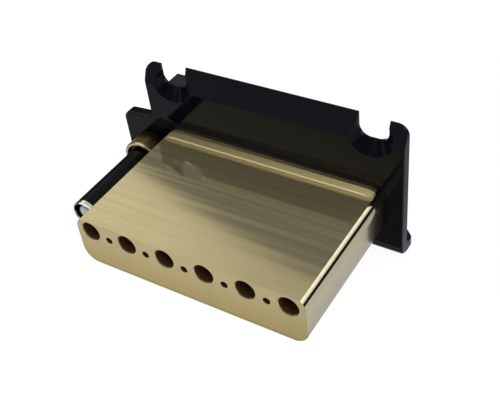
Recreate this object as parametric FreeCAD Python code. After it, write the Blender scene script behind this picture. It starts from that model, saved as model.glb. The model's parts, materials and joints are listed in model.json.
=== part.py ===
"""Two-point fulcrum bridge for an electric guitar, millimetres.

Frame: X across the strings (treble side at -X), Y out of the top face of the
base plate (saddles at +Y, inertia block at -Y), Z towards the neck.
Origin: middle of the pivot line, on the top face of the plate, where the two
knife edges bear on their studs.
"""
import FreeCAD, Part
import math
import os

V = FreeCAD.Vector
os.makedirs("parts", exist_ok=True)

# ------------------------------------------------------------ driving sizes
STRING_PITCH = 10.8          # string to string
STRINGS = 6
STUD_SPACING = 55.2          # knife edge to knife edge
Z_STRING = -15.7             # line of the string holes

PLATE_T = 3.0                # plate thickness
PLATE_HALF = 36.0            # half width of the plate
PLATE_FRONT = 5.9            # front edge of the horns
PLATE_NOSE = 6.4             # front edge between the notches
PLATE_REAR = -33.4           # rear face of the upturned flange
FLANGE_T = 3.4               # flange thickness
FLANGE_H = 8.0               # flange height above the plate's top face
FLANGE_END_H = 2.8           # flange height at its two ends, which slope down at 45 degrees
BEND_R = 4.2                 # outer bend radius, plate to flange
BEND_IN_R = 1.2              # inner bend radius
END_ROUND = 1.1              # rounding of the outer edges at the two ends of the bend
UNDER_ROUND = 0.45           # rounding round the underside
NOSE_Z = 0.4                 # front bevel on the underside: where it starts
NOSE_LAND = 0.6              # height left at the front edge
HORN_R = 2.8                 # outer corner of the horns

NOTCH_HALF = 3.9             # pivot notch: half width
NOTCH_CORNER = 3.0           # pivot notch: bottom corners
BEVEL_R = 6.3                # pivot bevel: radius on the underside
BEVEL_Z = 3.0                # pivot bevel: centre ahead of the knife edge
KNIFE_LAND = 0.3             # flat left at the knife edge

EAR_X = -45.85               # outer edge of the ear for the arm socket
EAR_TOP = -10.2
EAR_BOTTOM = -28.1
ARM_X = -36.95               # arm socket axis
ARM_Z = -20.4

BLOCK_HALF = 31.3            # inertia block: half width
BLOCK_R = 4.0                # corner radius of its section
BLOCK_L = 38.5               # length below the plate
BLOCK_FRONT = Z_STRING + 3.75
BLOCK_MILLED = Z_STRING + 2.85
BLOCK_REAR = Z_STRING - 10.6
SHOULDER = 3.7               # band left unmilled beside the plate
SHOULDER_R = 0.08            # cutter radius at the foot of the band
SHOULDER_EDGE = 0.48         # rounding of the band's edge
NECK_L = 1.25                # turned-in neck right beside the plate
NECK_D = 0.12
BLOCK_EDGE = 0.22            # rounding of the edges of the end face
BALL_BORE_R = 2.5            # bores that take the ball ends
BALL_BORE_L = 30.0
STRING_BORE_R = 1.1
HOOK_BORE_R = 0.95           # bores that take the spring hooks
HOOK_BORE_L = 14.0
HOOK_DZ = -0.87              # hook bores sit behind the string line

BLOCK_SCREW_X = (-21.6, 0.0, 21.6)
BLOCK_SCREW_Z = -21.6

TUBE_R = 3.6                 # arm socket tube
TUBE_BORE_R = 2.95
TUBE_SEAT_R = 3.35           # seat of the end ring inside the tube
TUBE_END = -32.4
LINER_BORE_R = 2.55          # liner bore for a 5 mm arm
COLLAR_R = 5.35              # knurled collar nut
COLLAR_TOP = -3.05
COLLAR_END = -9.5
COLLAR_TEETH = 54

SADDLE_L = 20.0
SADDLE_HALF = 5.15           # half width
SADDLE_BASE = 1.0            # gap between saddle and plate
SADDLE_TOP = 6.8
SADDLE_FRONT = (-1.13, -2.33, -3.53, -2.33, -3.53, -5.33)
SLOT_HALF = 1.8              # string slot through the saddle
SLOT_FROM = 5.2              # slot: from the front end
SLOT_TO = 16.0
HEIGHT_SCREW_DX = 3.35
HEIGHT_SCREW_DZ = 3.3
HEIGHT_SCREW_R = 1.45
HEIGHT_HOLE_R = 1.5

SCREW_Y = 4.0                # intonation screws: height above the plate
SCREW_R = 1.45
SCREW_HOLE_R = 1.5
FLANGE_HOLE_R = 1.6
SCREW_TIP = -17.4
SCREW_HEAD_R = 2.6
SCREW_HEAD_T = 2.1

SPRING_R = 2.5               # outside radius of the intonation springs
SPRING_WIRE = 0.6
SPRING_TURNS = 6

XS = [(i - (STRINGS - 1) / 2.0) * STRING_PITCH for i in range(STRINGS)]


# ----------------------------------------------------------------- helpers
def rounded(points):
    """Closed wire through (x, y, z, r) corners, each rounded by r."""
    n = len(points)
    ends = []
    for i in range(n):
        p0 = V(*points[i - 1][:3])
        p = V(*points[i][:3])
        p1 = V(*points[(i + 1) % n][:3])
        r = points[i][3]
        if r <= 0:
            ends.append((p, None, p))
            continue
        a = (p0 - p).normalize()
        b = (p1 - p).normalize()
        half = a.getAngle(b) / 2.0
        d = r / math.tan(half)
        c = p + (a + b).normalize() * (r / math.sin(half))
        mid = c + (p - c).normalize() * r
        ends.append((p + a * d, mid, p + b * d))
    edges = []
    for i in range(n):
        s, m, e = ends[i]
        if m is not None:
            edges.append(Part.Arc(s, m, e).toShape())
        nxt = ends[(i + 1) % n][0]
        if (nxt - e).Length > 1e-6:
            edges.append(Part.LineSegment(e, nxt).toShape())
    return Part.Wire(Part.__sortEdges__(edges))


def prism(points, vec):
    return Part.Face(rounded(points)).extrude(vec)


def xz(pts, y, h):
    """Outline (x, z, r) drawn at height y and raised by h along Y."""
    return prism([(x, y, z, r) for x, z, r in pts], V(0, h, 0))


def cyl(x, y0, y1, z, r):
    return Part.makeCylinder(r, y1 - y0, V(x, y0, z), V(0, 1, 0))


def cone(x, y0, r0, y1, r1, z):
    return Part.makeCone(r0, r1, y1 - y0, V(x, y0, z), V(0, 1, 0))


def cyl_z(x, y, z0, z1, r):
    return Part.makeCylinder(r, z1 - z0, V(x, y, z0), V(0, 0, 1))


def box(x0, x1, y0, y1, z0, z1):
    return Part.makeBox(x1 - x0, y1 - y0, z1 - z0, V(x0, y0, z0))


def turned(profile, base, axis):
    """Solid of revolution of (radius, height) points about axis at base."""
    pts = [V(r, 0, h) for r, h in profile]
    pts.append(pts[0])
    face = Part.Face(Part.makePolygon(pts))
    solid = face.revolve(V(0, 0, 0), V(0, 0, 1), 360)
    rot = FreeCAD.Rotation(V(0, 0, 1), V(*axis))
    solid.Placement = FreeCAD.Placement(V(*base), rot)
    return solid


def hexagon(x, y, z, af, depth, axis):
    """Hexagonal prism, af across flats, from a point along an axis."""
    r = af / math.sqrt(3.0)
    pts = [V(r * math.cos(math.radians(60 * i)), r * math.sin(math.radians(60 * i)), 0) for i in range(7)]
    s = Part.Face(Part.makePolygon(pts)).extrude(V(0, 0, depth))
    s.Placement = FreeCAD.Placement(V(x, y, z), FreeCAD.Rotation(V(0, 0, 1), V(*axis)))
    return s


def cross_recess(x, y, z, depth, axis, arm=1.35, width=0.55):
    """Cross recess tapering to a point."""
    w = width
    a = Part.makeLoft([
        Part.makePolygon([V(-arm, -w / 2, 0), V(arm, -w / 2, 0), V(arm, w / 2, 0), V(-arm, w / 2, 0), V(-arm, -w / 2, 0)]),
        Part.makePolygon([V(-0.35, -w / 2.4, depth), V(0.35, -w / 2.4, depth), V(0.35, w / 2.4, depth), V(-0.35, w / 2.4, depth), V(-0.35, -w / 2.4, depth)]),
    ], True, True)
    b = a.copy()
    b.rotate(V(0, 0, 0), V(0, 0, 1), 90)
    s = a.fuse(b)
    s.Placement = FreeCAD.Placement(V(x, y, z), FreeCAD.Rotation(V(0, 0, 1), V(*axis)))
    return s


def fillet(shape, radius, pick):
    """Round the edges that pick() chooses; keep the shape if that fails."""
    edges = [e for e in shape.Edges if pick(e)]
    if not edges:
        return shape
    try:
        s = shape.makeFillet(radius, edges)
        if s.isValid() and len(s.Solids) == len(shape.Solids):
            return s
    except Exception as err:
        print("fillet", radius, err)
    print("fillet skipped", radius, len(edges))
    return shape


def at_y(e, y):
    return all(abs(v.Point.y - y) < 1e-4 for v in e.Vertexes) and abs(e.CenterOfMass.y - y) < 1e-4


def save(name, *solids):
    flat = []
    for s in solids:
        flat += s.Solids
    for s in flat:
        assert s.isValid() and s.Volume > 0, name
    shape = flat[0] if len(flat) == 1 else Part.makeCompound(flat)
    shape.exportStep("parts/%s.step" % name)
    bb = shape.BoundBox
    print("%-26s solids %2d  vol %9.2f  x %.2f %.2f  y %.2f %.2f  z %.2f %.2f" % (
        name, len(flat), shape.Volume, bb.XMin, bb.XMax, bb.YMin, bb.YMax, bb.ZMin, bb.ZMax))


# --------------------------------------------------------------- base plate
JOIN_Z = -28.7               # where the flat of the plate meets the bend
outline = [
    (-PLATE_HALF, PLATE_FRONT, HORN_R), (PLATE_HALF, PLATE_FRONT, HORN_R),
    (PLATE_HALF, JOIN_Z, 0), (-PLATE_HALF, JOIN_Z, 0),
    (-PLATE_HALF, EAR_BOTTOM, 0.3), (-41.0, EAR_BOTTOM, 2.0), (EAR_X, EAR_BOTTOM + 4.4, 2.0),
    (EAR_X, EAR_TOP - 0.8, 2.4), (-PLATE_HALF, EAR_TOP, 0.8),
]
flat = xz(outline, -PLATE_T, PLATE_T)
free = lambda e: not all(abs(v.Point.z - JOIN_Z) < 1e-4 for v in e.Vertexes)
flat = fillet(flat, UNDER_ROUND, lambda e: at_y(e, -PLATE_T) and free(e))
flat = fillet(flat, 0.25, lambda e: at_y(e, 0) and free(e))
# between the notches the front edge stands a little further forward
nose = box(-STUD_SPACING / 2.0, STUD_SPACING / 2.0, -PLATE_T, 0, 4.0, PLATE_NOSE)
nose = fillet(nose, 0.2, lambda e: at_y(e, 0) and all(abs(v.Point.z - PLATE_NOSE) < 1e-4 for v in e.Vertexes))
flat = flat.fuse(nose).removeSplitter()
# the front edge is bevelled on the underside
rise = (PLATE_T - NOSE_LAND) / (PLATE_FRONT - NOSE_Z)
flat = flat.cut(prism([(-60, -PLATE_T - 4, NOSE_Z - 2, 0), (-60, -PLATE_T - 2 * rise, NOSE_Z - 2, 0),
                       (-60, -NOSE_LAND + 2 * rise, PLATE_FRONT + 2, 0), (-60, -PLATE_T - 4, PLATE_FRONT + 2, 0)], V(120, 0, 0)))
# bend and flange: section drawn across, drawn out along X, ends rounded down
section = rounded([
    (-PLATE_HALF, -PLATE_T, JOIN_Z, 0), (-PLATE_HALF, -PLATE_T, PLATE_REAR, BEND_R),
    (-PLATE_HALF, FLANGE_H - 0.8, PLATE_REAR, 0), (-PLATE_HALF, FLANGE_H, PLATE_REAR + 0.8, 0),
    (-PLATE_HALF, FLANGE_H, PLATE_REAR + FLANGE_T, 0.8),
    (-PLATE_HALF, 0, PLATE_REAR + FLANGE_T, BEND_IN_R), (-PLATE_HALF, 0, JOIN_Z, 0),
])
flange = Part.Face(section).extrude(V(2 * PLATE_HALF, 0, 0))
drop = FLANGE_H - FLANGE_END_H
ends = prism([
    (-PLATE_HALF, -PLATE_T - 1, PLATE_REAR - 1, 0), (PLATE_HALF, -PLATE_T - 1, PLATE_REAR - 1, 0),
    (PLATE_HALF, FLANGE_END_H, PLATE_REAR - 1, 0.9), (PLATE_HALF - drop, FLANGE_H, PLATE_REAR - 1, 2.5),
    (-PLATE_HALF + drop, FLANGE_H, PLATE_REAR - 1, 2.5), (-PLATE_HALF, FLANGE_END_H, PLATE_REAR - 1, 0.9),
], V(0, 0, 8))
# outer edges at the two ends: rounded, more towards the rear
for side in (-1, 1):
    x_end = side * PLATE_HALF
    arc = [e for e in flange.Edges if e.Curve.TypeId == "Part::GeomCircle" and abs(e.Curve.Radius - BEND_R) < 1e-4
           and all(abs(v.Point.x - x_end) < 1e-4 for v in e.Vertexes)]
    tries = []
    for a, b in ((UNDER_ROUND, END_ROUND), (END_ROUND, UNDER_ROUND)):
        s = flange.makeFillet(a, b, arc)
        assert s.isValid() and len(s.Solids) == 1
        area = sum(Part.Face(w).Area for w in s.slice(V(0, 0, 1), JOIN_Z - 0.05))
        tries.append((area, s))
    flange = max(tries, key=lambda t: t[0])[1]
flange = flange.common(ends)
base_plate = flat.fuse(flange).removeSplitter()
# pivot notches with the knife edge on the top side
for s in (-1, 1):
    cx = s * STUD_SPACING / 2.0
    slot = xz([(cx - NOTCH_HALF, 0, NOTCH_CORNER), (cx - NOTCH_HALF, PLATE_FRONT + 5, 0),
               (cx + NOTCH_HALF, PLATE_FRONT + 5, 0), (cx + NOTCH_HALF, 0, NOTCH_CORNER)], -PLATE_T - 2, PLATE_T + 4)
    slope = (BEVEL_R - BEVEL_Z) / (PLATE_T - KNIFE_LAND)
    bevel = cone(cx, -PLATE_T - 1, BEVEL_R + slope, -KNIFE_LAND, BEVEL_Z, BEVEL_Z)
    base_plate = base_plate.cut(slot).cut(bevel)
# string holes, block screw holes, arm socket hole, intonation screw holes
for x in XS:
    base_plate = base_plate.cut(cyl(x, -PLATE_T - 1, 1, Z_STRING, 1.8))
    base_plate = base_plate.cut(cyl_z(x, SCREW_Y, PLATE_REAR - 1, PLATE_REAR + FLANGE_T + 1, FLANGE_HOLE_R))
for x in BLOCK_SCREW_X:
    base_plate = base_plate.cut(cyl(x, -PLATE_T - 1, 1, BLOCK_SCREW_Z, 2.1))
    base_plate = base_plate.cut(cone(x, -2.2, 2.05, 0.0, 4.1, BLOCK_SCREW_Z))
    base_plate = base_plate.cut(cyl(x, -0.02, 1, BLOCK_SCREW_Z, 4.1))
base_plate = base_plate.cut(cyl(ARM_X, -PLATE_T - 1, 1, ARM_Z, TUBE_R + 0.02))
save("base_plate", base_plate)

# ------------------------------------------------------------ inertia block
BLOCK_END = -PLATE_T - BLOCK_L
block = xz([(-BLOCK_HALF, BLOCK_REAR, BLOCK_R), (BLOCK_HALF, BLOCK_REAR, BLOCK_R),
            (BLOCK_HALF, BLOCK_FRONT, BLOCK_R), (-BLOCK_HALF, BLOCK_FRONT, BLOCK_R)], BLOCK_END, BLOCK_L)
foot = -PLATE_T - SHOULDER
mill = prism([(-40, BLOCK_END - 5, BLOCK_MILLED, 0), (-40, foot, BLOCK_MILLED, SHOULDER_R), (-40, foot, BLOCK_FRONT + 0.002, SHOULDER_EDGE),
              (-40, foot + 1.0, BLOCK_FRONT + 0.02, 0), (-40, foot + 1.0, BLOCK_FRONT + 5, 0), (-40, BLOCK_END - 5, BLOCK_FRONT + 5, 0)], V(80, 0, 0))
block = fillet(block, BLOCK_EDGE, lambda e: at_y(e, BLOCK_END))
block = block.cut(mill)
block = fillet(block, 0.15, lambda e: at_y(e, BLOCK_END) and all(v.Point.z > BLOCK_MILLED - 0.01 for v in e.Vertexes))
neck = lambda h: xz([(-BLOCK_HALF + h, BLOCK_REAR + h, BLOCK_R - h), (BLOCK_HALF - h, BLOCK_REAR + h, BLOCK_R - h),
                     (BLOCK_HALF - h, BLOCK_FRONT - h, BLOCK_R - h), (-BLOCK_HALF + h, BLOCK_FRONT - h, BLOCK_R - h)], -PLATE_T - NECK_L, NECK_L)
block = block.cut(neck(-1.0).cut(neck(NECK_D)))
for x in XS:
    block = block.cut(cyl(x, BLOCK_END - 1, BLOCK_END + BALL_BORE_L, Z_STRING, BALL_BORE_R))
    block = block.cut(cone(x, BLOCK_END + BALL_BORE_L, BALL_BORE_R, BLOCK_END + BALL_BORE_L + 1.4, STRING_BORE_R, Z_STRING))
    block = block.cut(cyl(x, BLOCK_END + BALL_BORE_L, 0, Z_STRING, STRING_BORE_R))
    block = block.cut(cone(x, BLOCK_END - 0.05, BALL_BORE_R + 0.25, BLOCK_END + 0.2, BALL_BORE_R, Z_STRING))
for i in range(STRINGS - 1):
    x = (XS[i] + XS[i + 1]) / 2.0
    block = block.cut(cyl(x, BLOCK_END - 1, BLOCK_END + HOOK_BORE_L, Z_STRING + HOOK_DZ, HOOK_BORE_R))
    block = block.cut(cone(x, BLOCK_END + HOOK_BORE_L, HOOK_BORE_R, BLOCK_END + HOOK_BORE_L + 0.5, 0.05, Z_STRING + HOOK_DZ))
for x in BLOCK_SCREW_X:
    block = block.cut(cyl(x, -PLATE_T - 11.0, 0, BLOCK_SCREW_Z, 2.0))
save("inertia_block", block)

# countersunk screws that hold the block under the plate
screws = []
for x in BLOCK_SCREW_X:
    s = turned([(0, 0), (1.5, 0), (1.95, 0.5), (1.95, 9.975), (3.93, 12.1), (3.93, 12.15), (0, 12.15)],
               (x, -12.25, BLOCK_SCREW_Z), (0, 1, 0))
    screws.append(s.cut(cross_recess(x, -0.1, BLOCK_SCREW_Z, 1.7, (0, -1, 0), 2.0, 0.8)))
save("block_screws", *screws)

# --------------------------------------------------------------- arm socket
tube = turned([(TUBE_SEAT_R, 0), (TUBE_R, 0), (TUBE_R, -TUBE_END), (4.5, -TUBE_END), (4.5, -TUBE_END + 1.3),
               (4.1, -TUBE_END + 1.7), (TUBE_BORE_R, -TUBE_END + 1.7), (TUBE_BORE_R, 4.7), (TUBE_SEAT_R, 4.7)], (ARM_X, TUBE_END, ARM_Z), (0, 1, 0))
save("arm_socket_tube", tube)
liner = turned([(LINER_BORE_R, 0), (TUBE_BORE_R, 0), (TUBE_BORE_R, 23.9), (3.6, 23.9), (3.6, 24.4),
                (3.3, 24.7), (LINER_BORE_R + 0.3, 24.7), (LINER_BORE_R, 24.4)], (ARM_X, -22.2, ARM_Z), (0, 1, 0))
save("arm_socket_liner", liner)
# knurled collar nut: straight knurl with a plain lip at its lower end
pts = []
for i in range(COLLAR_TEETH):
    a = 2 * math.pi * i / COLLAR_TEETH
    da = 2 * math.pi / COLLAR_TEETH
    for k, r in ((0.0, COLLAR_R), (0.28, COLLAR_R), (0.64, COLLAR_R - 0.3)):
        pts.append(V(r * math.cos(a + k * da), 0, r * math.sin(a + k * da)))
pts.append(pts[0])
knurl = Part.Face(Part.makePolygon(pts)).extrude(V(0, 1, 0) * (COLLAR_TOP - COLLAR_END))
knurl.translate(V(ARM_X, COLLAR_END, ARM_Z))
trim = turned([(0, 0), (COLLAR_R - 0.65, 0), (COLLAR_R - 0.2, 0.35), (COLLAR_R - 0.2, 1.0), (COLLAR_R + 0.2, 1.2),
               (COLLAR_R + 0.2, 5.9), (COLLAR_R - 0.35, COLLAR_TOP - COLLAR_END), (0, COLLAR_TOP - COLLAR_END)],
              (ARM_X, COLLAR_END, ARM_Z), (0, 1, 0))
collar = knurl.common(trim)
lip = turned([(0, 0), (COLLAR_R - 0.4, 0), (COLLAR_R - 0.12, 0.08), (COLLAR_R + 0.05, 0.25), (COLLAR_R + 0.1, 0.45),
              (COLLAR_R + 0.05, 0.65), (COLLAR_R - 0.12, 0.82), (COLLAR_R - 0.35, 0.95), (0, 0.95)],
             (ARM_X, COLLAR_END, ARM_Z), (0, 1, 0))
collar = collar.fuse(lip).cut(cyl(ARM_X, COLLAR_END - 1, COLLAR_TOP + 1, ARM_Z, TUBE_R + 0.05))
collar = collar.cut(cyl(ARM_X, COLLAR_END - 1, COLLAR_END + 0.9, ARM_Z, COLLAR_R - 0.75)).removeSplitter()
save("arm_collar_nut", collar)
# bright end ring pressed into the lower end of the tube, with a groove round the screw
ring = turned([(2.45, -4.5), (TUBE_SEAT_R, -4.5), (TUBE_SEAT_R, 0), (TUBE_R, 0), (TUBE_R, 0.8), (3.58, 1.1), (3.52, 1.28), (3.43, 1.38),
               (3.33, 1.4), (3.24, 1.33), (3.18, 1.2), (3.15, 1.0), (3.15, -0.9), (2.45, -0.9)], (ARM_X, TUBE_END, ARM_Z), (0, -1, 0))
save("arm_tube_end_ring", ring)
# height screw inside the end ring: domed tip outwards, slot at the inner end
dome = turned([(0, 0), (2.4, 0), (2.4, 8.3), (2.34, 8.55), (2.15, 8.82), (1.8, 9.06), (1.35, 9.25), (0.8, 9.39), (0.4, 9.45), (0, 9.48)],
              (ARM_X, -24.3, ARM_Z), (0, -1, 0))
dome = dome.cut(box(ARM_X - 2, ARM_X + 2, -25.2, -24.2, ARM_Z - 0.25, ARM_Z + 0.25))
save("arm_height_screw", dome)

# ------------------------------------------------------------------ saddles
for i, x in enumerate(XS):
    f = SADDLE_FRONT[i]
    r = f - SADDLE_L
    # side profile: crowned nose, level back
    body = prism([(x - SADDLE_HALF, SADDLE_BASE, r, 0.4), (x - SADDLE_HALF, SADDLE_TOP, r, 1.0),
                  (x - SADDLE_HALF, SADDLE_TOP, f, 1.1), (x - SADDLE_HALF, SADDLE_BASE, f, 0.5)], V(2 * SADDLE_HALF, 0, 0))
    keep = prism([(x - SADDLE_HALF, SADDLE_BASE, r - 1, 0.3), (x - SADDLE_HALF, SADDLE_TOP, r - 1, 1.1),
                  (x + SADDLE_HALF, SADDLE_TOP, r - 1, 1.1), (x + SADDLE_HALF, SADDLE_BASE, r - 1, 0.3)], V(0, 0, SADDLE_L + 2))
    body = body.common(keep)
    # string slot, open to the plate, and the groove over the nose
    body = body.cut(xz([(x - SLOT_HALF, f - SLOT_TO, 1.7), (x + SLOT_HALF, f - SLOT_TO, 1.7),
                        (x + SLOT_HALF, f - SLOT_FROM, 1.7), (x - SLOT_HALF, f - SLOT_FROM, 1.7)], 0, 10))
    body = body.cut(Part.makeCylinder(0.8, SLOT_FROM + 3, V(x, SADDLE_TOP + 0.25, f - SLOT_FROM - 1), V(0, 0, 1)))
    body = body.cut(cyl_z(x, SCREW_Y, r - 1, f - SLOT_TO + 1, SCREW_HOLE_R))
    for dx in (-HEIGHT_SCREW_DX, HEIGHT_SCREW_DX):
        body = body.cut(cyl(x + dx, 0, 10, f - HEIGHT_SCREW_DZ, HEIGHT_HOLE_R))
    save("saddle_%d" % (i + 1), body)
    pair = []
    for dx in (-HEIGHT_SCREW_DX, HEIGHT_SCREW_DX):
        s = turned([(0, 0), (0.8, 0), (HEIGHT_SCREW_R, 0.5), (HEIGHT_SCREW_R, 6.0), (HEIGHT_SCREW_R - 0.2, 6.2), (0, 6.2)],
                   (x + dx, 0.02, f - HEIGHT_SCREW_DZ), (0, 1, 0))
        pair.append(s.cut(hexagon(x + dx, 4.6, f - HEIGHT_SCREW_DZ, 1.3, 3, (0, 1, 0))))
    save("saddle_height_screws_%d" % (i + 1), *pair)
    # intonation screw: head behind the flange, shank forward into the saddle
    head = PLATE_REAR - 0.02
    s = turned([(0, 0), (1.6, 0.02), (2.2, 0.3), (SCREW_HEAD_R, 0.95), (SCREW_HEAD_R, SCREW_HEAD_T), (SCREW_R, SCREW_HEAD_T),
                (SCREW_R, SCREW_HEAD_T + SCREW_TIP - head - 0.5), (SCREW_R - 0.5, SCREW_HEAD_T + SCREW_TIP - head), (0, SCREW_HEAD_T + SCREW_TIP - head)],
               (x, SCREW_Y, head - SCREW_HEAD_T), (0, 0, 1))
    s = s.cut(cross_recess(x, SCREW_Y, head - SCREW_HEAD_T - 0.01, 1.5, (0, 0, 1)))
    save("intonation_screw_%d" % (i + 1), s)
    # intonation spring between flange and saddle, as a stack of wire turns
    z0 = PLATE_REAR + FLANGE_T + 0.03
    z1 = r - 0.03
    step = (z1 - z0) / SPRING_TURNS
    prof = [(SPRING_R - 2 * SPRING_WIRE, z0), (SPRING_R - 0.25, z0)]
    for k in range(SPRING_TURNS):
        prof += [(SPRING_R, z0 + (k + 0.3) * step), (SPRING_R, z0 + (k + 0.7) * step)]
        if k < SPRING_TURNS - 1:
            prof.append((SPRING_R - 0.3, z0 + (k + 1) * step))
    prof += [(SPRING_R - 0.25, z1), (SPRING_R - 2 * SPRING_WIRE, z1)]
    # inner radius stays clear of the screw shank
    prof[0] = (SCREW_R + 0.2, z0)
    prof[-1] = (SCREW_R + 0.2, z1)
    save("intonation_spring_%d" % (i + 1), turned(prof, (x, SCREW_Y, 0), (0, 0, 1)))
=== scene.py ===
import json
import math

import bmesh
import bpy
from mathutils import Matrix, Vector


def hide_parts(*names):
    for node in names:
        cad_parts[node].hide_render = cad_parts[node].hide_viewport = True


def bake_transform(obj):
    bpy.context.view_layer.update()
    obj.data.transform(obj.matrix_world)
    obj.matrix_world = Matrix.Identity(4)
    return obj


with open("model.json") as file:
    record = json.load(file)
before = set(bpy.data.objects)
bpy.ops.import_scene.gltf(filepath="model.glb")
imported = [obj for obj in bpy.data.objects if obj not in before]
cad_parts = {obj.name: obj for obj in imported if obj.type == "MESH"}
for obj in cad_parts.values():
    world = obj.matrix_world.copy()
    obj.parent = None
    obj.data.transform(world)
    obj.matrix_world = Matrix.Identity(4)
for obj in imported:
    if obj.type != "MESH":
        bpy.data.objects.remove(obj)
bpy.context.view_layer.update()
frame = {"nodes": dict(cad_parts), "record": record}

scene = bpy.context.scene
scene.view_settings.view_transform = "Standard"

# ---------------------------------------------------------------- dimensions (metres, row frame)
PITCH = 0.0108
STRING_X = [(i - 2.5) * PITCH for i in range(6)]
SADDLE_FRONT = (-0.00113, -0.00233, -0.00353, -0.00233, -0.00353, -0.00533)
SADDLE_L = 0.020
FLANGE_FACE = -0.0300
SCREW_Y = 0.0040
ARM = Vector((-0.03695, 0.0, -0.0204))

# ---------------------------------------------------------------- camera
cam_data = bpy.data.cameras.new("camera")
cam_data.sensor_fit = "HORIZONTAL"
cam_data.sensor_width = 36.0
cam_data.lens = 60.30
cam_data.clip_start = 0.01
cam_data.clip_end = 20.0
cam = bpy.data.objects.new("camera", cam_data)
scene.collection.objects.link(cam)
right = Vector((0.84966, 0.51746, -0.10157))
up = Vector((-0.27961, 0.60539, 0.74520))
back = Vector((0.44710, -0.60477, 0.65906))
turn = Matrix((right, up, back)).transposed()
cam.matrix_world = Matrix.Translation((0.092825, -0.139213, 0.115978)) @ turn.to_4x4()
scene.camera = cam


# ---------------------------------------------------------------- node helpers
class Graph:
    """Short hand for building a node tree."""

    def __init__(self, tree):
        self.tree = tree
        self.tree.nodes.clear()
        self.coord = self.add("ShaderNodeTexCoord")

    def add(self, kind, **props):
        n = self.tree.nodes.new(kind)
        for k, v in props.items():
            setattr(n, k, v)
        return n

    def put(self, socket, value):
        if isinstance(value, bpy.types.NodeSocket):
            self.tree.links.new(value, socket)
        elif value is not None:
            socket.default_value = value

    def math(self, op, a, b=None, c=None, clamp=False):
        n = self.add("ShaderNodeMath", operation=op, use_clamp=clamp)
        for i, v in enumerate((a, b, c)):
            if v is not None:
                self.put(n.inputs[i], v)
        return n.outputs[0]

    def vmath(self, op, a, b=None, scale=None):
        n = self.add("ShaderNodeVectorMath", operation=op)
        self.put(n.inputs[0], a)
        if b is not None:
            self.put(n.inputs[1], b)
        if scale is not None:
            self.put(n.inputs["Scale"], scale)
        return n.outputs["Value"] if op in ("DOT_PRODUCT", "LENGTH", "DISTANCE") else n.outputs["Vector"]

    def xyz(self, v):
        n = self.add("ShaderNodeSeparateXYZ")
        self.put(n.inputs[0], v)
        return n.outputs

    def vec(self, x, y, z):
        n = self.add("ShaderNodeCombineXYZ")
        for i, v in enumerate((x, y, z)):
            self.put(n.inputs[i], v)
        return n.outputs[0]

    def place(self):
        return self.coord.outputs["Object"]

    def normal(self):
        return self.coord.outputs["Normal"]

    def stretched(self, sx, sy, sz):
        return self.vmath("MULTIPLY", self.place(), (sx, sy, sz))

    def noise(self, v, scale=1.0, detail=2.0, rough=0.5, out="Fac", dist=0.0):
        n = self.add("ShaderNodeTexNoise")
        self.put(n.inputs["Vector"], v)
        self.put(n.inputs["Scale"], scale)
        self.put(n.inputs["Detail"], detail)
        self.put(n.inputs["Roughness"], rough)
        self.put(n.inputs["Distortion"], dist)
        return n.outputs[out]

    def ramp(self, v, lo, hi, a=0.0, b=1.0, smooth=True):
        n = self.add("ShaderNodeMapRange", interpolation_type="SMOOTHSTEP" if smooth else "LINEAR")
        self.put(n.inputs["Value"], v)
        for k, x in (("From Min", lo), ("From Max", hi), ("To Min", a), ("To Max", b)):
            self.put(n.inputs[k], x)
        return n.outputs["Result"]

    def mix(self, f, a, b, blend="MIX"):
        n = self.add("ShaderNodeMix", data_type="RGBA", blend_type=blend)
        self.put(n.inputs["Factor"], f)
        for k, v in ((6, a), (7, b)):
            self.put(n.inputs[k], (*v, 1.0) if isinstance(v, tuple) and len(v) == 3 else v)
        return n.outputs[2]

    def fmix(self, f, a, b):
        n = self.add("ShaderNodeMix", data_type="FLOAT")
        self.put(n.inputs["Factor"], f)
        self.put(n.inputs[2], a)
        self.put(n.inputs[3], b)
        return n.outputs[0]

    def bump(self, height, strength=1.0, distance=0.0001, normal=None):
        n = self.add("ShaderNodeBump")
        self.put(n.inputs["Height"], height)
        self.put(n.inputs["Strength"], strength)
        self.put(n.inputs["Distance"], distance)
        if normal is not None:
            self.put(n.inputs["Normal"], normal)
        return n.outputs[0]


class Nodes(Graph):
    """A material with one principled shader."""

    def __init__(self, name):
        self.mat = bpy.data.materials.new(name)
        self.mat.use_nodes = True
        super().__init__(self.mat.node_tree)
        self.out = self.add("ShaderNodeOutputMaterial")
        self.bsdf = self.add("ShaderNodeBsdfPrincipled")
        self.tree.links.new(self.bsdf.outputs[0], self.out.inputs["Surface"])

    def set(self, **values):
        for k, v in values.items():
            self.put(self.bsdf.inputs[k.replace("_", " ")], v)


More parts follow.
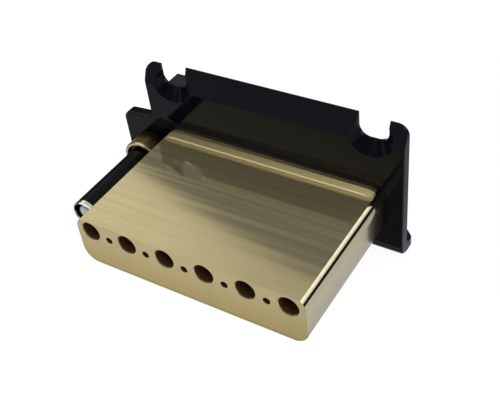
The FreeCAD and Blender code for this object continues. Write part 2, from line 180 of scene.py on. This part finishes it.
# ---------------------------------------------------------------- materials
def brass_block():
    m = Nodes("block_brass")
    x, y, z = m.xyz(m.place())
    nx, ny, nz = m.xyz(m.normal())
    both = lambda a, b: m.math("MULTIPLY", a, b)
    front = m.ramp(nz, 0.80, 0.97)
    end = both(m.ramp(m.math("MULTIPLY", ny, -1.0), 0.80, 0.97), m.ramp(y, -0.0395, -0.0405))
    side = m.ramp(m.math("ABSOLUTE", nx), 0.75, 0.97)
    neck = m.ramp(y, -0.00432, -0.00424)
    band = both(both(m.ramp(y, -0.00662, -0.00636), m.math("SUBTRACT", 1.0, neck)), m.ramp(nz, 0.72, 0.90))
    milled = both(front, m.ramp(y, -0.00668, -0.00690))

    riser = both(both(m.ramp(m.math("MULTIPLY", ny, -1.0), 0.62, 0.85), m.ramp(y, -0.00705, -0.00685)), m.ramp(y, -0.0062, -0.0064))
    toe = both(front, both(m.ramp(y, -0.00800, -0.00690), m.ramp(z, -0.01245, -0.01265)))
    # bores: distance from the nearest axis of each row
    col = m.math("ABSOLUTE", x)
    near = m.math("SUBTRACT", m.math("ABSOLUTE", m.math("SUBTRACT", m.math("FLOORED_MODULO", x, PITCH), PITCH / 2)), 0.0)
    far = m.math("SUBTRACT", PITCH / 2, near)
    dz = m.math("SUBTRACT", z, -0.0157)
    hz = m.math("SUBTRACT", z, -0.01657)
    ball_r = m.math("SQRT", m.math("ADD", both(near, near), both(dz, dz)))
    hook_r = m.math("SQRT", m.math("ADD", both(far, far), both(hz, hz)))
    ball = m.ramp(ball_r, 0.00256, 0.00251)
    hook = both(m.ramp(hook_r, 0.00100, 0.00096), m.ramp(col, 0.0240, 0.0230))
    hole = m.math("MAXIMUM", ball, hook)
    bore = both(hole, m.ramp(y, -0.04145, -0.04125))

    # cutter lines run along the width
    wave = m.noise(m.stretched(7.0, 260.0, 260.0), 1.0, 1.0, 0.4)
    lines = m.noise(m.stretched(6.0, 620.0, 620.0), 1.0, 1.0, 0.4)
    fine = m.noise(m.stretched(24.0, 5600.0, 5600.0), 1.0, 1.0, 0.5)
    speckle = m.noise(m.place(), 30000.0, 0.0, 0.5)
    cloud = m.noise(m.place(), 60.0, 3.0, 0.5)
    grain = m.noise(m.place(), 5200.0, 2.0, 0.6)
    flecks = m.ramp(m.noise(m.place(), 900.0, 1.0, 0.5), 0.80, 0.83)

    tone = m.mix(m.ramp(lines, 0.32, 0.68), (0.75, 0.635, 0.385), (0.83, 0.705, 0.43))
    # painted light and shade: the end face is lighter towards its top and darker towards its bottom, with a darker
    # strip along its bottom edge
    tone = m.mix(end, tone, m.mix(m.ramp(z, -0.0240, -0.0150, 0.0, 1.0, False), (0.85, 0.69, 0.33), (1.0, 0.865, 0.53)))
    painted_foot_shade = both(m.ramp(y, -0.0405, -0.0409), m.ramp(z, -0.02598, -0.02616))
    tone = m.mix(both(end, m.ramp(z, -0.0246, -0.0257)), tone, (0.82, 0.82, 0.83), "MULTIPLY")
    tone = m.mix(both(painted_foot_shade, 0.8), tone, (0.44, 0.36, 0.21))
    # painted shade: the side faces darken towards the bottom
    tone = m.mix(both(side, 0.85), tone, m.mix(m.ramp(z, -0.0225, -0.0165, 0.0, 1.0, False), (0.69, 0.60, 0.375), (0.84, 0.715, 0.44)))
    # painted light and shade: the band is darker at its left end and brighter at its right
    tone = m.mix(both(band, 0.95), tone, m.mix(m.ramp(x, -0.030, 0.024, 0.0, 1.0, False), (0.50, 0.43, 0.26), (1.0, 0.88, 0.53)))
    # painted shade: the neck next to the plate is darkened, more towards the right
    tone = m.mix(both(neck, m.ramp(x, -0.012, 0.024, 0.0, 0.45)), tone, (0.34, 0.28, 0.16))
    # painted highlight along the top of the step and painted shade towards its foot, darker towards the left
    painted_step_foot_shade = m.mix(m.ramp(x, 0.010, -0.030, 0.0, 1.0, False), (0.84, 0.71, 0.42), (0.36, 0.295, 0.17))
    step = m.mix(m.ramp(z, -0.01236, -0.01282), (1.0, 0.88, 0.56), painted_step_foot_shade)
    tone = m.mix(riser, tone, step)
    # painted reflection: the face just below the step is darkened as the step's dark mirror image, darker towards the
    # left
    tone = m.mix(both(toe, 0.65), tone, m.mix(m.ramp(x, 0.010, -0.030, 0.0, 1.0, False), (0.36, 0.295, 0.17), (0.24, 0.195, 0.11)))
    tone = m.mix(m.ramp(cloud, 0.40, 0.75, 0.0, 0.18), tone, (0.62, 0.52, 0.30))
    tone = m.mix(milled, tone, (0.86, 0.86, 0.845), "MULTIPLY")
    tone = m.mix(both(flecks, milled), tone, (0.90, 0.85, 0.70))
    tone = m.mix(both(bore, 0.92), tone, (0.33, 0.165, 0.06))

    gloss = m.ramp(lines, 0.30, 0.70, 0.070, 0.105)
    gloss = m.fmix(neck, gloss, m.ramp(grain, 0.3, 0.7, 0.34, 0.56))
    rough = m.fmix(end, gloss, m.ramp(grain, 0.3, 0.7, 0.33, 0.45))
    rough = m.fmix(side, rough, m.ramp(speckle, 0.30, 0.70, 0.06, 0.30))
    corner = both(m.ramp(nx, 0.50, 0.60), m.ramp(nx, 0.985, 0.95))
    rough = m.fmix(corner, rough, 0.07)
    rough = m.fmix(band, rough, m.ramp(grain, 0.3, 0.7, 0.70, 0.88))
    rough = m.fmix(riser, rough, m.ramp(grain, 0.3, 0.7, 0.42, 0.58))
    rough = m.fmix(toe, rough, 0.45)
    rear = m.ramp(m.math("MULTIPLY", nz, -1.0), 0.80, 0.97)
    rough = m.fmix(rear, rough, m.ramp(lines, 0.3, 0.7, 0.40, 0.52))
    rough = m.fmix(hole, rough, 0.38)

    # heights in micrometres
    mill = m.math("ADD", both(wave, m.ramp(y, -0.012, -0.022, 4.0, 7.5)), m.math("ADD", both(lines, m.ramp(y, -0.014, -0.026, 0.6, 2.0)), both(fine, 0.12)))
    rest = m.math("ADD", both(grain, 0.9), both(fine, 0.7))
    height = m.fmix(milled, rest, mill)
    m.set(Base_Color=tone, Metallic=m.fmix(bore, m.fmix(milled, 1.0, 0.82), 0.80), Roughness=rough, Normal=m.bump(height, 1.0, 0.000001))
    return m.mat


def gloss_black(name, base=(0.0032, 0.0048, 0.0095), rough=(0.07, 0.13), bump=0.05, spec=0.22):
    m = Nodes(name)
    cloud = m.noise(m.place(), 160.0, 4.0, 0.55)
    fine = m.noise(m.place(), 2600.0, 2.0, 0.5)
    hair = m.noise(m.stretched(3200.0, 3200.0, 90.0), 1.0, 2.0, 0.6)
    tone = m.mix(m.ramp(cloud, 0.35, 0.7), tuple(c * 0.85 for c in base), tuple(c * 1.2 for c in base))
    r = m.ramp(m.math("ADD", m.math("MULTIPLY", cloud, 0.6), m.math("MULTIPLY", hair, 0.4)), 0.35, 0.65, rough[0], rough[1])
    m.set(Base_Color=tone, Metallic=0.0, Roughness=r, Specular_IOR_Level=spec,
          Normal=m.bump(fine, bump, 0.00001))
    return m.mat


def satin_black(name, base=(0.0030, 0.0036, 0.0066), rough=(0.20, 0.30)):
    m = Nodes(name)
    cloud = m.noise(m.place(), 420.0, 4.0, 0.6)
    grain = m.noise(m.place(), 5200.0, 3.0, 0.6)
    tone = m.mix(m.ramp(cloud, 0.35, 0.7), tuple(c * 0.75 for c in base), tuple(c * 1.4 for c in base))
    r = m.ramp(m.math("ADD", m.math("MULTIPLY", cloud, 0.5), m.math("MULTIPLY", grain, 0.5)), 0.35, 0.65, rough[0], rough[1])
    m.set(Base_Color=tone, Metallic=0.0, Roughness=r, Specular_IOR_Level=0.16,
          Normal=m.bump(grain, 0.12, 0.00002))
    return m.mat


def black_oxide(name):
    m = Nodes(name)
    cloud = m.noise(m.place(), 900.0, 3.0, 0.6)
    grain = m.noise(m.place(), 7000.0, 3.0, 0.6)
    tone = m.mix(m.ramp(cloud, 0.35, 0.7), (0.018, 0.018, 0.020), (0.045, 0.044, 0.044))
    # turns of the thread, 0.5 mm apart, round the intonation screws and the upright screws
    x, y, z = m.xyz(m.place())
    nx, ny, nz = m.xyz(m.normal())
    flat = lambda c: m.ramp(m.math("ABSOLUTE", c), 0.30, 0.15)
    turn = lambda c: m.math("SINE", m.math("MULTIPLY", c, 2 * math.pi / 0.0005))
    behind = m.ramp(z, -0.0162, -0.0168)
    shank = m.math("MULTIPLY", m.math("MULTIPLY", turn(z), flat(nz)), m.math("MULTIPLY", behind, m.ramp(z, -0.0328, -0.0320)))
    upright = m.math("MULTIPLY", m.math("MULTIPLY", turn(y), flat(ny)), m.math("SUBTRACT", 1.0, behind))
    thread = m.math("MULTIPLY", m.math("ADD", shank, upright), 60.0)
    fine = m.math("ADD", thread, m.math("MULTIPLY", grain, 3.0))
    m.set(Base_Color=tone, Metallic=0.85, Roughness=m.ramp(grain, 0.3, 0.7, 0.26, 0.40),
          Normal=m.bump(fine, 1.0, 0.000001))
    return m.mat


def collar_brass():
    m = Nodes("collar_brass")
    x, y, z = m.xyz(m.place())
    r = m.vmath("DISTANCE", m.vec(x, 0.0, z), (ARM.x, 0.0, ARM.z))
    lip = m.math("MULTIPLY", m.ramp(y, -0.00850, -0.00862), m.ramp(r, 0.00462, 0.00472))
    painted_recess_shade = m.ramp(r, 0.00470, 0.00462)
    proud = m.ramp(r, 0.00508, 0.00533)
    cloud = m.noise(m.place(), 700.0, 3.0, 0.6)
    turning = m.noise(m.stretched(60.0, 9000.0, 60.0), 1.0, 2.0, 0.6)
    tone = m.mix(proud, (0.10, 0.065, 0.03), (0.62, 0.49, 0.27))
    tone = m.mix(m.ramp(cloud, 0.4, 0.75, 0.0, 0.5), tone, (0.24, 0.17, 0.075))
    # painted shade: the collar darkens towards the plate
    tone = m.mix(m.ramp(y, -0.0072, -0.0046, 0.0, 0.85), tone, (0.05, 0.035, 0.018))
    tone = m.mix(lip, tone, (0.86, 0.73, 0.45))
    # painted shade: the recess inside the lip is near black
    tone = m.mix(painted_recess_shade, tone, (0.055, 0.038, 0.022))
    m.set(Base_Color=tone, Metallic=1.0, Roughness=m.fmix(lip, m.ramp(cloud, 0.3, 0.7, 0.26, 0.40), 0.20),
          Normal=m.bump(turning, 0.25, 0.00002))
    return m.mat


def chrome(name):
    m = Nodes(name)
    cloud = m.noise(m.place(), 900.0, 3.0, 0.6)
    turning = m.noise(m.stretched(50.0, 7000.0, 50.0), 1.0, 2.0, 0.6)
    tone = m.mix(m.ramp(cloud, 0.4, 0.75), (0.97, 0.97, 0.97), (0.88, 0.88, 0.89))
    x, y, z = m.xyz(m.place())
    r = m.vmath("DISTANCE", m.vec(x, 0.0, z), (ARM.x, 0.0, ARM.z))
    # painted shade: the groove between the rim and the dome is near black
    painted_groove_shade = m.math("MULTIPLY", m.math("MULTIPLY", m.ramp(r, 0.00236, 0.00240), m.ramp(r, 0.00324, 0.00318)), m.ramp(y, -0.0336, -0.0334))
    tone = m.mix(painted_groove_shade, tone, (0.012, 0.011, 0.011))
    m.set(Base_Color=tone, Metallic=1.0, Roughness=m.ramp(cloud, 0.3, 0.7, 0.07, 0.16),
          Normal=m.bump(turning, 0.10, 0.00001))
    return m.mat


def liner_plastic():
    m = Nodes("liner_plastic")
    grain = m.noise(m.place(), 4000.0, 3.0, 0.6)
    tone = m.mix(m.ramp(grain, 0.3, 0.7), (0.035, 0.035, 0.036), (0.055, 0.055, 0.056))
    m.set(Base_Color=tone, Roughness=m.ramp(grain, 0.3, 0.7, 0.38, 0.52), Specular_IOR_Level=0.5,
          Normal=m.bump(grain, 0.1, 0.00002))
    return m.mat


def spring_steel():
    m = Nodes("spring_steel")
    grain = m.noise(m.place(), 5000.0, 3.0, 0.6)
    tone = m.mix(m.ramp(grain, 0.3, 0.7), (0.05, 0.05, 0.052), (0.10, 0.098, 0.098))
    m.set(Base_Color=tone, Metallic=0.9, Roughness=m.ramp(grain, 0.3, 0.7, 0.22, 0.36))
    return m.mat


mats = {
    "plate_black": gloss_black("plate_black"),
    "block_brass": brass_block(),
    "screw_black": black_oxide("screw_black"),
    "socket_black": satin_black("socket_black"),
    "liner_plastic": liner_plastic(),
    "collar_brass": collar_brass(),
    "end_chrome": chrome("end_chrome"),
    "saddle_black": gloss_black("saddle_black", (0.006, 0.006, 0.0066), (0.10, 0.20), 0.08, 0.36),
    "spring_steel": spring_steel(),
}

slot_of = {s["node"]: s["material_slot"] for s in frame["record"]["subparts"]}
for name, node in frame["nodes"].items():
    node.data.materials.clear()
    node.data.materials.append(mats[slot_of[name]])
    weld = node.modifiers.new("weld", "WELD")
    weld.merge_threshold = 2e-6
    split = node.modifiers.new("split", "EDGE_SPLIT")
    split.split_angle = math.radians(28)
    flat = node.modifiers.new("flat", "WEIGHTED_NORMAL")
    flat.mode = "FACE_AREA"
    flat.weight = 50
    flat.keep_sharp = True


# ---------------------------------------------------------------- coil springs
def new_piece(name, verts, faces, mat, smooth=True):
    me = bpy.data.meshes.new(name)
    me.from_pydata(verts, [], faces)
    bm = bmesh.new()
    bm.from_mesh(me)
    bmesh.ops.recalc_face_normals(bm, faces=bm.faces)
    bm.to_mesh(me)
    bm.free()
    for p in me.polygons:
        p.use_smooth = smooth
    me.materials.append(mat)
    o = bpy.data.objects.new(name, me)
    scene.collection.objects.link(o)
    return o


def coil(n):
    x = STRING_X[n - 1]
    z0, z1 = FLANGE_FACE + 0.00002, SADDLE_FRONT[n - 1] - SADDLE_L - 0.00002
    wire, mean = 0.00031, 0.00208
    turns, per, ring = 8.0, 40, 12
    dead = 1.0                       # closed turn at each end
    total = int(turns * per)
    a0, a1 = z0 + wire, z1 - wire
    step = 2 * wire * 1.01           # rise of a closed turn
    live = (a1 - a0) - 2 * dead * step
    verts, faces = [], []
    for i in range(total + 1):
        t = i / per
        if t < dead:
            zc = a0 + step * t
        elif t > turns - dead:
            zc = a1 - step * (turns - t)
        else:
            zc = a0 + dead * step + live * (t - dead) / (turns - 2 * dead)
        a = 2 * math.pi * t
        c = Vector((x + mean * math.cos(a), SCREW_Y + mean * math.sin(a), zc))
        out = Vector((math.cos(a), math.sin(a), 0.0))
        for k in range(ring):
            b = 2 * math.pi * k / ring
            p = c + out * (wire * math.cos(b)) + Vector((0, 0, wire * math.sin(b)))
            p.z = min(max(p.z, z0), z1)
            verts.append(p)
    for i in range(total):
        for k in range(ring):
            k2 = (k + 1) % ring
            faces.append((i * ring + k, i * ring + k2, (i + 1) * ring + k2, (i + 1) * ring + k))
    faces.append(tuple(range(ring)))
    faces.append(tuple(total * ring + k for k in reversed(range(ring))))
    o = new_piece("intonation_coil_%d" % n, verts, faces, mats["spring_steel"])
    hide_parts("intonation_spring_%d" % n)
    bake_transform(o)
    return o


for n in range(1, 7):
    coil(n)

# ---------------------------------------------------------------- floor and light
FLOOR_N = Vector((0.0, 0.2012, 0.9795)).normalized()
FLOOR_D = -0.03393


def floor():
    m = Nodes("floor_pale")
    grain = m.noise(m.place(), 6.0, 3.0, 0.5)
    tone = m.mix(m.ramp(grain, 0.3, 0.7), (0.10, 0.10, 0.10), (0.11, 0.11, 0.11))
    m.set(Base_Color=tone, Roughness=0.9, Specular_IOR_Level=0.0, Emission_Color=(1.0, 1.0, 1.0, 1.0), Emission_Strength=0.955)
    geo = m.add("ShaderNodeNewGeometry")
    clear = m.add("ShaderNodeBsdfTransparent")
    pick = m.add("ShaderNodeMixShader")
    m.tree.links.new(geo.outputs["Backfacing"], pick.inputs[0])
    m.tree.links.new(m.bsdf.outputs[0], pick.inputs[1])
    m.tree.links.new(clear.outputs[0], pick.inputs[2])
    m.tree.links.new(pick.outputs[0], m.out.inputs["Surface"])
    q = Vector((0, 0, 1)).rotation_difference(FLOOR_N).to_matrix()
    centre = FLOOR_N * FLOOR_D
    steps, size = 24, 3.0
    verts, faces = [], []
    for j in range(steps + 1):
        for i in range(steps + 1):
            verts.append(centre + q @ Vector(((i / steps - 0.5) * 2 * size, (j / steps - 0.5) * 2 * size, 0)))
    for j in range(steps):
        for i in range(steps):
            a = j * (steps + 1) + i
            faces.append((a, a + 1, a + steps + 2, a + steps + 1))
    me = bpy.data.meshes.new("floor")
    me.from_pydata(verts, [], faces)
    me.materials.append(m.mat)
    o = bpy.data.objects.new("floor", me)
    scene.collection.objects.link(o)
    # the floor takes the object's shadow and leaves the surroundings to light it
    o.visible_glossy = False
    o.visible_diffuse = False
    o.visible_transmission = False
    o.visible_shadow = False
    return o


floor()

def studio():
    """Soft surroundings: bright overhead and in front, dim behind, pale below."""
    world = bpy.data.worlds.new("studio")
    scene.world = world
    world.use_nodes = True
    g = Graph(world.node_tree)
    way = g.coord.outputs["Generated"]
    x, y, z = g.xyz(way)
    both = lambda a, b: g.math("MULTIPLY", a, b)
    edge = g.vmath("DOT_PRODUCT", way, (-0.15, 1.0, 0.0))
    rise = g.vmath("DOT_PRODUCT", way, (-0.375, 0.0, 1.0))
    level = g.fmix(g.ramp(y, 0.48, 0.25), g.ramp(x, -0.33, -0.60, 0.50, 0.86), 0.70)
    level = g.fmix(g.ramp(y, 0.20, 0.0), level, 0.98)
    bright = g.mix(level, (0.0, 0.0, 0.0), (1.0, 0.99, 0.88))
    dim = g.mix(g.ramp(edge, 0.700, 0.712), (0.105, 0.115, 0.13), (0.44, 0.46, 0.48))
    above = g.mix(g.ramp(edge, 0.650, 0.638), dim, bright)
    # darker towards the viewer, up to about 35 degrees
    ahead = g.ramp(y, -0.40, -0.52)
    above = g.mix(ahead, above, g.mix(g.ramp(rise, 0.742, 0.712), (0.82, 0.88, 0.86), (0.085, 0.09, 0.10)))
    # pale table, cooler at the back, dimmer right underneath and close to the viewer
    below = g.mix(g.ramp(g.vmath("DOT_PRODUCT", way, (0.594, 0.804, 0.0)), -0.3, 0.5), g.mix(g.ramp(z, -0.56, -0.66), (0.46, 0.465, 0.46), (0.67, 0.64, 0.58)), (0.53, 0.56, 0.64))
    below = g.mix(g.ramp(z, -0.80, -0.90, 0.0, 0.8), below, (0.10, 0.10, 0.10))
    below = g.mix(g.ramp(y, 0.63, 0.71, 0.0, 0.5), below, (0.10, 0.10, 0.10))
    below = g.mix(both(g.ramp(y, -0.58, -0.64), both(g.ramp(x, -0.46, -0.38), g.ramp(z, -0.40, -0.55))), below, (0.17, 0.165, 0.16))
    all_round = g.mix(g.ramp(z, -0.06, 0.0), below, above)
    level_ahead = both(ahead, both(g.ramp(z, -0.30, -0.12), g.ramp(z, 0.26, 0.14)))
    all_round = g.mix(level_ahead, all_round, (0.36, 0.365, 0.38))
    gap = both(both(g.ramp(z, -0.175, -0.135), g.ramp(z, 0.30, 0.26)), both(g.ramp(x, 0.40, 0.60), g.ramp(y, 0.2, 0.4)))
    all_round = g.mix(gap, all_round, (0.010, 0.010, 0.011))
    beside = both(g.ramp(x, -0.46, -0.56), both(g.ramp(y, -0.33, -0.21), g.ramp(z, 0.50, 0.38)))
    all_round = g.mix(beside, all_round, (0.045, 0.045, 0.05))
    left = both(both(g.ramp(x, -0.70, -0.80), g.ramp(y, -0.50, -0.36)), both(g.ramp(z, 0.50, 0.38), g.ramp(z, -0.25, -0.10)))
    all_round = g.mix(left, all_round, (0.045, 0.045, 0.05))
    path = g.add("ShaderNodeLightPath")
    all_round = g.mix(path.outputs["Is Camera Ray"], all_round, (1.0, 1.0, 1.0))
    back = g.add("ShaderNodeBackground")
    g.put(back.inputs["Color"], all_round)
    out = g.add("ShaderNodeOutputWorld")
    g.tree.links.new(back.outputs[0], out.inputs["Surface"])


studio()


def softbox(name, place, target, wide, high, power, color=(1.0, 1.0, 1.0)):
    d = bpy.data.lights.new(name, "AREA")
    d.shape = "RECTANGLE"
    d.size = wide
    d.size_y = high
    d.energy = power
    d.color = color
    o = bpy.data.objects.new(name, d)
    scene.collection.objects.link(o)
    o.location = place
    o.rotation_mode = "QUATERNION"
    o.rotation_quaternion = (Vector(target) - Vector(place)).to_track_quat("-Z", "Y")
    return o


softbox("key_light", (0.70, 0.60, 0.345), (0.0, -0.02, -0.01), 0.60, 0.46, 0.70, (0.89, 1.0, 1.22))
# fill for the top side, from behind and above the saddles
softbox("fill_light", (-0.20, 0.80, -0.42), (0.0, 0.0, -0.012), 0.90, 0.60, 3.0)
